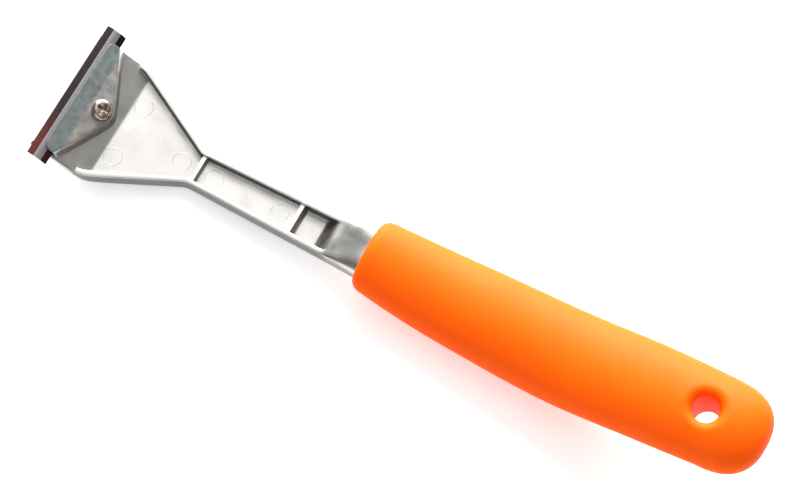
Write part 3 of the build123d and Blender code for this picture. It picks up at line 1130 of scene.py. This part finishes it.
    def build(self) -> None:
        """Makes and dresses the handle."""
        skin = Skin()
        x, share = self.stations()
        half, centre = self.spine(x)
        angle = np.linspace(0.0, 2 * math.pi, self.around, endpoint=False)[None, :]
        y = (half * share)[:, None] * np.sin(angle)
        z = centre[:, None] + (half * share)[:, None] * self.flatness * np.cos(angle)
        grid = np.stack([x[:, None] + 0 * y, y, z], axis=-1)
        low = int(np.argmin(np.abs(x - self.patch_x[0])))
        high = int(np.argmin(np.abs(x - self.patch_x[1])))
        middle = self.around // 2
        reach = self.patch_columns // 2
        top = np.arange(-reach, reach + 1) % self.around
        bottom = (middle - np.arange(-reach, reach + 1)) % self.around
        skip = np.zeros((len(x) - 1, self.around), bool)
        for columns in (np.arange(-reach, reach), np.arange(middle - reach, middle + reach)):
            skip[low:high, columns % self.around] = True
        first = skin.add_grid(grid, wrap=True, skip=skip)
        flat = grid.reshape(-1, 3)
        rings = []
        for columns, up in ((top, 1.0), (bottom, -1.0)):
            ring = block_ring((low, high), columns, self.around, first)
            rings.append(self.punch(skin, ring, flat[ring - first], up))
        skin.bridge(rings[0], rings[1])
        skin.cap(first + np.arange(self.around))
        tip_x = self.line[-1][0] + self.cap_length
        tip = skin.add_points(np.array([[tip_x, 0.0, self.line[-1][2] + self.cap_rise]]))
        last = first + (len(x) - 1) * self.around + np.arange(self.around)
        after = np.roll(last, -1)
        skin.fans.extend((int(a), int(b), tip) for a, b in zip(last, after))
        dress(skin.piece("handle_skin", 60.0), GripFinish().material(), "frame", "handle")


# ---------------------------------------------------------------- blade


@dataclass
class Blade:
    """Strip blade with a ground bevel along both edges."""

    half_length: float = 25.0
    back_s: float = 13.92
    front_s: float = 21.1
    low_n: float = 1.72
    thick: float = 0.9
    bevel: float = 2.2
    edge: float = 0.12

    def build(self) -> None:
        """Makes and dresses the blade: its profile in S and N, carried across and rounded at the ends."""
        top = self.low_n + self.thick
        lip = self.low_n + self.edge
        profile = np.array([
            (self.back_s, self.low_n), (self.front_s, self.low_n), (self.front_s, lip),
            (self.front_s - self.bevel + 0.05, top - 0.02), (self.front_s - self.bevel - 0.1, top),
            (self.back_s + self.bevel + 0.1, top), (self.back_s + self.bevel - 0.05, top - 0.02),
            (self.back_s, lip)])
        across = np.concatenate([[-1.0, -0.9985], np.linspace(-0.996, 0.996, 61), [0.9985, 1.0]])
        pinch = np.interp(np.abs(across), [0.0, 0.996, 0.9985, 1.0], [0.0, 0.0, 0.03, 0.12])[:, None]
        centre_s = 0.5 * (self.back_s + self.front_s)
        s = profile[None, :, 0] - np.sign(profile[None, :, 0] - centre_s) * pinch
        n = profile[None, :, 1] - np.where(profile[None, :, 1] > lip, pinch, 0.0)
        y = across[:, None] * self.half_length + 0 * s
        skin = Skin()
        first = skin.add_grid(PLATE.at(s, y, n), wrap=True)
        columns = len(profile)
        skin.cap(first + np.arange(columns))
        skin.cap(first + (len(across) - 1) * columns + np.arange(columns))
        piece = skin.piece("blade_strip", 12.0)
        self.paint(piece)
        dress(piece, BladeFinish().material(), "blade", "blade")

    def paint(self, piece: bpy.types.Object) -> None:
        """Writes the numbers that the finish reads: bevel, 1 off the flat, where a dark reflection is
        painted, and along, 0 to 1 across.

        Args:
            piece: The blade.
        """
        s, y, _ = along_plate(piece.data)
        inside = np.minimum(s - self.back_s, self.front_s - s)
        write_values(piece.data, "bevel", inside < self.bevel)
        write_values(piece.data, "along", 0.5 + 0.5 * y / self.half_length)


# ---------------------------------------------------------------- clamp


@dataclass
class ClampPlate:
    """Pressed clamp plate: a rising strip, a soft crease, a flat panel and two sloping rear sides."""

    sheet: float = 0.8
    front_s: float = 17.75
    crease_s: float = 12.5
    half: float = 20.7
    panel_n: float = 2.9
    foot_n: float = 0.1
    apex_s: float = 1.4
    apex_round: float = 2.2
    sweep: float = 0.51
    side_slope: float = 0.76
    corner_round: float = 2.4
    strip_slope: float = 0.152
    hole_radius: float = 2.0
    rows: int = 56
    columns: int = 96

    def height(self, s: np.ndarray, y: np.ndarray) -> np.ndarray:
        """Height N of the sheet's top face.

        Formula: the panel, with the strip rising in front of the crease, and the rear side's plane,
        whichever is lower, with rounded bends.

        Args:
            s: Distance along the front plate.
            y: Distance across.

        Returns:
            The height.
        """
        strip = self.panel_n + self.strip_slope * (s - self.crease_s)
        top = soft_max(strip, self.panel_n + 0 * s, 0.1)
        side = self.foot_n + (s - self.foot_s(y)) / self.side_slope
        return soft_min(side, top, 0.5)

    def foot_s(self, y: np.ndarray) -> np.ndarray:
        """S of the rear sides' foot at Y: two straight lines that meet in a round."""
        swept = np.sqrt(y**2 + self.apex_round**2) - 0.35 * self.apex_round
        return self.apex_s + self.sweep * swept

    def build(self) -> None:
        """Makes and dresses the plate: a grid over S and Y with the screw's hole, given its thickness."""
        y = np.linspace(-self.half, self.half, self.columns + 1)[None, :]
        share = np.linspace(0.0, 1.0, self.rows + 1)[:, None]
        overhang = np.clip(np.abs(y) - (self.half - self.corner_round), 0.0, None)
        corner = self.corner_round - np.sqrt(np.clip(self.corner_round**2 - overhang**2, 0.0, None))
        front = self.front_s - corner
        foot = self.foot_s(y)
        s = foot + (front - foot) * share
        grid = PLATE.at(s, y + 0 * s, self.height(s, y + 0 * s))
        row = int(np.argmin(np.abs(s[:, self.columns // 2] - TOOL.screw_s)))
        reach_rows, reach_columns = 13, 8
        low, high = row - reach_rows, row + reach_rows
        middle = self.columns // 2
        columns = np.arange(middle - reach_columns, middle + reach_columns + 1)
        skip = np.zeros((self.rows, self.columns), bool)
        skip[low:high, columns[0]:columns[-1]] = True
        skin = Skin()
        first = skin.add_grid(grid, skip=skip)
        ring = block_ring((low, high), columns, self.columns + 1, first)
        edge_s = s.reshape(-1)[ring - first]
        edge_y = (y + 0 * s).reshape(-1)[ring - first]
        angle = np.arctan2(edge_y, edge_s - TOOL.screw_s)
        last = ring
        for inward in np.linspace(0.0, 1.0, 5)[1:]:
            ring_s = edge_s * (1 - inward) + (TOOL.screw_s + self.hole_radius * np.cos(angle)) * inward
            ring_y = edge_y * (1 - inward) + self.hole_radius * np.sin(angle) * inward
            start = skin.add_points(PLATE.at(ring_s, ring_y, self.height(ring_s, ring_y)))
            after = start + np.arange(len(ring))
            skin.bridge(last, after)
            last = after
        piece = skin.piece("clamp_plate_sheet")
        self.mark_panel_reflection(piece)
        self.thicken(piece)
        dress(piece, SheetFinish().material(), "clamp_plate", "clamp_plate")

    def mark_panel_reflection(self, piece: bpy.types.Object) -> None:
        """Writes the number that the finish reads: rear, 0 on the front strip and 1 behind the crease,
        where a warmer reflection is painted.
        """
        s = along_plate(piece.data)[0]
        write_values(piece.data, "rear", smooth_step(self.crease_s + 0.25, self.crease_s - 0.25, s))

    def thicken(self, piece: bpy.types.Object) -> None:
        """Turns the sheet's face up, gives it its thickness below and rounds its cut edges.

        Args:
            piece: The sheet, still without thickness.
        """
        mesh = piece.data
        normals = np.empty(len(mesh.polygons) * 3)
        mesh.polygons.foreach_get("normal", normals)
        if normals.reshape(-1, 3)[:, 2].mean() < 0:
            mesh.flip_normals()
        wall = piece.modifiers.new("wall", "SOLIDIFY")
        wall.thickness = self.sheet * METRES
        wall.offset = -1.0
        wall.use_even_offset = True
        edge = piece.modifiers.new("edge", "BEVEL")
        edge.width = 0.14 * METRES
        edge.segments = 2
        edge.limit_method = "ANGLE"
        edge.angle_limit = math.radians(50.0)


@dataclass
class ClampScrew:
    """Pan-head screw with a cross recess and a rolled thread."""

    seat_n: float = 2.92
    head_radius: float = 3.5
    head_height: float = 2.2
    head_round: float = 1.4
    thread_radius: float = 1.75
    thread_depth: float = 0.22
    pitch: float = 0.6
    length: float = 8.0
    recess_span: float = 4.1
    recess_width: float = 0.95
    recess_depth: float = 1.5
    around: int = 128

    def recess(self, u: np.ndarray, v: np.ndarray) -> np.ndarray:
        """Depth of the cross recess at a place on the head.

        Formula: a cross of two bars, deepest in the middle and shallower towards the bars' ends.

        Args:
            u: Distance along one bar.
            v: Distance along the other.

        Returns:
            The depth.
        """
        long, thin = self.recess_span / 2, self.recess_width / 2
        bar_a = np.maximum(np.abs(u) - long, np.abs(v) - thin)
        bar_b = np.maximum(np.abs(u) - thin, np.abs(v) - long)
        reach = np.minimum(bar_a, bar_b)
        slope = 1 - 0.45 * np.clip(np.hypot(u, v) / long, 0, 1)
        return self.recess_depth * slope * smooth_step(0.07, -0.16, reach)

    def build(self) -> None:
        """Makes and dresses the screw: head and shank turned about the axis, the recess pressed in."""
        rim = self.head_radius - self.head_round
        crown = np.linspace(0.02, rim, 52)
        turn = np.linspace(0.0, math.pi / 2, 12)[1:]
        dome = 0.22
        head_top = self.seat_n + self.head_height
        crown_n = head_top - dome * (crown / self.head_radius) ** 2
        shoulder_r = rim + self.head_round * np.sin(turn)
        drop = dome * (rim / self.head_radius) ** 2
        shoulder_n = head_top - drop - self.head_round * (1 - np.cos(turn))
        turns = int((self.length - 1.4) / self.pitch)
        steps = np.arange(turns * 4)
        wave = np.array([0.0, 0.5, 1.0, 0.5])[steps % 4]
        thread_n = self.seat_n - 0.7 - steps * self.pitch / 4
        thread_r = self.thread_radius - self.thread_depth * wave
        tip_n = self.seat_n - self.length
        under_head = [self.head_radius, self.head_radius - 0.12, self.thread_radius]
        tip = [self.thread_radius - 0.4, 0.02]
        radius = np.concatenate([crown, shoulder_r, under_head, thread_r, tip])
        height = np.concatenate([crown_n, shoulder_n, [self.seat_n + 0.12, self.seat_n, self.seat_n],
                                 thread_n, [tip_n, tip_n]])
        angle = np.linspace(0.0, 2 * math.pi, self.around, endpoint=False)[None, :]
        u, v = radius[:, None] * np.cos(angle), radius[:, None] * np.sin(angle)
        on_head = (np.arange(len(radius)) < len(crown) + 5)[:, None]
        lift = height[:, None] - np.where(on_head, self.recess(u, v), 0.0)
        skin = Skin()
        first = skin.add_grid(PLATE.at(TOOL.screw_s + u, v, lift), wrap=True)
        skin.cap(first + np.arange(self.around))
        skin.cap(first + (len(radius) - 1) * self.around + np.arange(self.around))
        dress(skin.piece("clamp_screw_turned", 35.0), NickelFinish().material(),
              "clamp_screw", "clamp_screw")


# ---------------------------------------------------------------- studio


@dataclass
class Studio:
    """Pale floor, soft lights and the camera."""

    azimuth_deg: float = 28.64
    elevation_deg: float = 69.06
    distance: float = 879.22
    across: float = 65.43
    upward: float = -27.41
    lens_mm: float = 124.2
    sensor_mm: float = 36.0

    def axes(self) -> tuple[np.ndarray, np.ndarray, np.ndarray]:
        """Right, up and backward directions of the camera in the tool frame."""
        turn, rise = math.radians(self.azimuth_deg), math.radians(self.elevation_deg)
        back = np.array([math.sin(turn) * math.cos(rise), -math.cos(turn) * math.cos(rise), math.sin(rise)])
        right = np.array([math.cos(turn), math.sin(turn), 0.0])
        return right, np.cross(back, right), back

    def camera(self) -> None:
        """Places the camera; it is laid down with the tool, so its view of the tool stays square."""
        right, up, back = self.axes()
        eye = self.across * right + self.upward * up + self.distance * back
        data = bpy.data.cameras.new("camera")
        data.sensor_width = self.sensor_mm
        data.lens = self.lens_mm
        data.clip_end = 20.0
        thing = bpy.data.objects.new("camera", data)
        columns = [TOOL.turn(v) for v in (right, up, back)]
        thing.matrix_world = Matrix((
            (*[c[0] for c in columns], TOOL.place(eye)[0]),
            (*[c[1] for c in columns], TOOL.place(eye)[1]),
            (*[c[2] for c in columns], TOOL.place(eye)[2]),
            (0.0, 0.0, 0.0, 1.0)))
        bpy.context.scene.collection.objects.link(thing)
        bpy.context.scene.camera = thing

    def floor(self) -> None:
        """Lays a large pale floor just under the tool."""
        mesh = bpy.data.meshes.new("floor")
        reach = 3.0
        gap = 0.0002
        corners = [(-reach, -reach), (reach, -reach), (reach, reach), (-reach, reach)]
        mesh.from_pydata([(x, y, -gap) for x, y in corners], [], [(0, 1, 2, 3)])
        mesh.materials.append(FloorFinish().material())
        thing = bpy.data.objects.new("floor", mesh)
        bpy.context.scene.collection.objects.link(thing)

    def lamp(self, name: str, place: tuple[float, float, float], size: float, watts: float) -> None:
        """Hangs a square soft light that points at the tool.

        Args:
            name: Name of the light.
            place: Where it hangs, in metres.
            size: Side of the light, in metres.
            watts: Its power.
        """
        data = bpy.data.lights.new(name, "AREA")
        data.size = size
        data.energy = watts
        thing = bpy.data.objects.new(name, data)
        back = np.array(place) / np.linalg.norm(place)
        right = np.cross((0.0, 1.0, 0.0), back)
        right = right / np.linalg.norm(right)
        up = np.cross(back, right)
        rows = [(right[i], up[i], back[i], place[i]) for i in range(3)]
        thing.matrix_world = Matrix([*rows, (0, 0, 0, 1)])
        bpy.context.scene.collection.objects.link(thing)

    def world(self, strength: float) -> None:
        """Sets a plain grey surround."""
        world = bpy.data.worlds.new("surround")
        world.use_nodes = True
        background = world.node_tree.nodes["Background"]
        background.inputs["Color"].default_value = (0.93, 0.95, 1.0, 1.0)
        background.inputs["Strength"].default_value = strength
        bpy.context.scene.world = world

    def build(self) -> None:
        """Makes the studio."""
        self.camera()
        self.floor()
        self.lamp("overhead", (-0.14, 0.33, 0.93), 1.0, 4.3)
        self.lamp("far_fill", (-0.45, 1.20, 0.55), 1.3, 104.0)
        self.lamp("near_fill", (0.15, -1.25, 0.60), 1.2, 6.0)
        self.world(0.28)
        settings = bpy.context.scene.view_settings
        settings.view_transform = "Standard"
        settings.look = "None"
        LOG.info("studio ready")


def main() -> None:
    """Builds the tool's pieces in order, then the studio."""
    logging.basicConfig(level=logging.INFO, format="%(name)s %(message)s")
    for part in (HeadCasting(), Handle(), Blade(), ClampPlate(), ClampScrew()):
        part.build()
    Studio().build()


if __name__ == "__main__":
    main()
